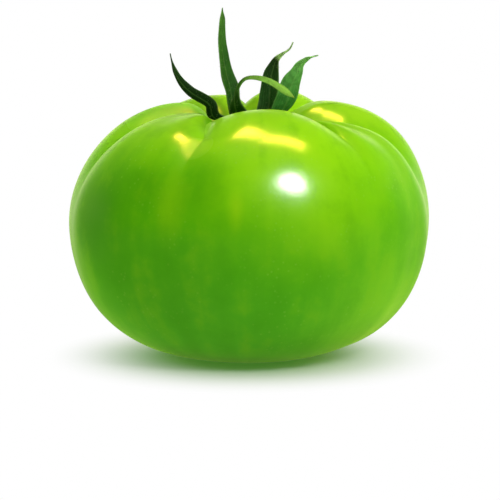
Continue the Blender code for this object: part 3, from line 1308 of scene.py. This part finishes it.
@dataclass
class SoftLight:
    """A soft light that faces the fruit.

    Its place is counted from the middle of the fruit, and its size's first number lies
    along the direction "along". It can be left out of the shade or of the gloss.
    """

    name: str
    place: Triple
    size: tuple[float, float]
    power: float
    colour: Colour = (1.0, 1.0, 1.0)
    along: Triple = (1.0, 0.0, 0.0)
    shade: bool = True
    gloss: bool = True
    shape: str = "RECTANGLE"

    def build(self, aim: Vector) -> Piece:
        """Adds the light and turns it to face the aim.

        Args:
            aim: The point that it faces.

        Returns:
            The light's object.
        """
        lamp = bpy.data.lights.new(self.name, "AREA")
        lamp.shape = self.shape
        lamp.size, lamp.size_y = self.size
        lamp.energy = self.power
        lamp.color = self.colour
        light = bpy.data.objects.new(self.name, lamp)
        bpy.context.scene.collection.objects.link(light)
        away = Vector(self.place).normalized()
        side = Vector(self.along)
        side = (side - away * side.dot(away)).normalized()
        light.location = aim + Vector(self.place)
        light.rotation_mode = "QUATERNION"
        axes = Matrix((side, away.cross(side), away)).transposed()
        light.rotation_quaternion = axes.to_quaternion()
        light.visible_diffuse = self.shade
        light.visible_glossy = self.gloss
        LOG.info("light %s: %.1f W", self.name, self.power)
        return light


KEY_PLACE: Triple = (0.447, -0.649, 0.616)
STRIP: Colour = (1.0, 0.60, 0.07)


@dataclass
class Studio:
    """Floor, lights, sky and camera.

    The sky is brighter to the right and behind. Its turn is where behind begins and is
    full, its horizon where the ground's glow gives way to it, and its gloss is how bright
    its reflection is in front and behind.
    """

    aim: Vector = field(default_factory=lambda: Vector((0.0, 0.0, 33.6 * MM)))
    elevation: float = 7.0
    distance: float = 0.75
    pixel: float = 0.2506 * MM
    middle_pixel: tuple[float, float] = (248.85, 222.0)
    image_pixels: int = 500
    floor_size: float = 12.0
    floor_height: float = -0.05 * MM
    sky_dim: float = 0.35
    sky_bright: float = 1.2
    sky_gloss: tuple[float, float] = (0.12, 1.0)
    sky_turn: tuple[float, float] = (0.80, 0.99)
    sky_sides: tuple[float, float] = (0.55, 1.35)
    sky_horizon: tuple[float, float] = (-0.35, -0.05)
    sky_tint: Colour = (1.0, 1.0, 0.68)
    ground: Colour = (0.45, 0.90, 0.15)
    ground_gloss: float = 0.32
    lights: tuple[SoftLight, ...] = (
        SoftLight("key", KEY_PLACE, (0.42, 0.26), 4.6, gloss=False),
        SoftLight("key_glint", KEY_PLACE, (0.42, 0.27), 60.0, shade=False, shape="ELLIPSE"),
        SoftLight("overhead", (0.0, 0.0, 0.9), (0.7, 0.7), 4.5, gloss=False),
        SoftLight(
            "left_rim", (-0.80, 0.45, 0.0), (0.5, 0.5), 7.5, (0.9, 1.0, 0.45), gloss=False
        ),
        SoftLight(
            "right_rim", (0.70, 0.60, 0.0), (0.5, 0.5), 12.0, (1.0, 0.85, 0.35), gloss=False
        ),
        SoftLight(
            "left_strip", (-0.13, 0.25, 0.9), (0.39, 0.14), 23.0, STRIP, (0.56, -0.83, 0.0), False
        ),
        SoftLight(
            "right_strip", (0.24, 0.0, 0.9), (0.50, 0.18), 38.0, STRIP, (1.0, -0.04, 0.0), False
        ),
    )

    def build_floor(self) -> Piece:
        """Lays the pale floor.

        Returns:
            The floor's object.
        """
        deselect()
        bpy.ops.mesh.primitive_plane_add(size=self.floor_size, location=(0, 0, self.floor_height))
        floor = take("floor")
        settle(floor)
        floor.data.materials.append(FloorFinish().make())
        floor.visible_glossy = False
        return floor

    def build_sky(self) -> None:
        """Surrounds the scene with white, which lights and gleams most behind the fruit."""
        world = bpy.data.worlds.new("white_surroundings")
        bench = Bench(world, "Background")
        direction = bench.place("Generated")
        behind = bench.axis(direction, "Y").rise(*self.sky_turn)
        to_right = bench.axis(direction, "X").rise(-0.9, 0.9)
        path = bench.node("ShaderNodeLightPath", {}, {})
        seen = Value(bench, path.outputs["Is Camera Ray"])
        glossy = Value(bench, path.outputs["Is Glossy Ray"])
        left, right = self.sky_sides
        front = (left + to_right * (right - left)) * self.sky_dim
        shade = front + behind * (self.sky_bright - front)
        gloss_front, gloss_behind = self.sky_gloss
        above = bench.axis(direction, "Z").rise(*self.sky_horizon)
        gloss = gloss_front + behind * above * (gloss_behind - gloss_front)
        gloss = gloss + (1 - above) * (self.ground_gloss - gloss)
        glow = shade + glossy * (gloss - shade)
        colour = bench.blend(above, self.ground, self.sky_tint)
        colour = bench.blend(seen, colour, (1.0, 1.0, 1.0))
        bench.set(Color=colour, Strength=glow + seen * (self.sky_bright - glow))
        bpy.context.scene.world = world

    def build_camera(self) -> None:
        """Places the camera at the photograph's height and distance."""
        rise = math.radians(self.elevation)
        back = Vector((0.0, -math.cos(rise), math.sin(rise)))
        up = Vector((0.0, math.sin(rise), math.cos(rise)))
        column, row = self.middle_pixel
        half = self.image_pixels / 2
        target = self.aim + Vector((half - column, 0.0, 0.0)) * self.pixel
        target -= up * (half - row) * self.pixel
        lens = bpy.data.cameras.new("camera")
        lens.sensor_width = 36.0
        lens.lens = lens.sensor_width * self.distance / (self.image_pixels * self.pixel)
        lens.clip_start = 0.01
        camera = bpy.data.objects.new("camera", lens)
        bpy.context.scene.collection.objects.link(camera)
        camera.location = target + back * self.distance
        camera.rotation_mode = "QUATERNION"
        camera.rotation_quaternion = (-back).to_track_quat("-Z", "Y")
        bpy.context.scene.camera = camera

    def build(self) -> None:
        """Sets up the whole studio."""
        self.build_floor()
        self.build_sky()
        for light in self.lights:
            light.build(self.aim)
        self.build_camera()
        bpy.context.scene.view_settings.view_transform = "Standard"


def main() -> None:
    """Builds the pieces and the studio."""
    logging.basicConfig(level=logging.INFO, format="%(name)s: %(message)s")
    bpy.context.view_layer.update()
    Fruit().build()
    calyx = Calyx()
    leaves = calyx.build()
    stem = StemStub(calyx).build()
    Hairs().build([leaves, stem])
    Studio().build()


if __name__ == "__main__":
    main()
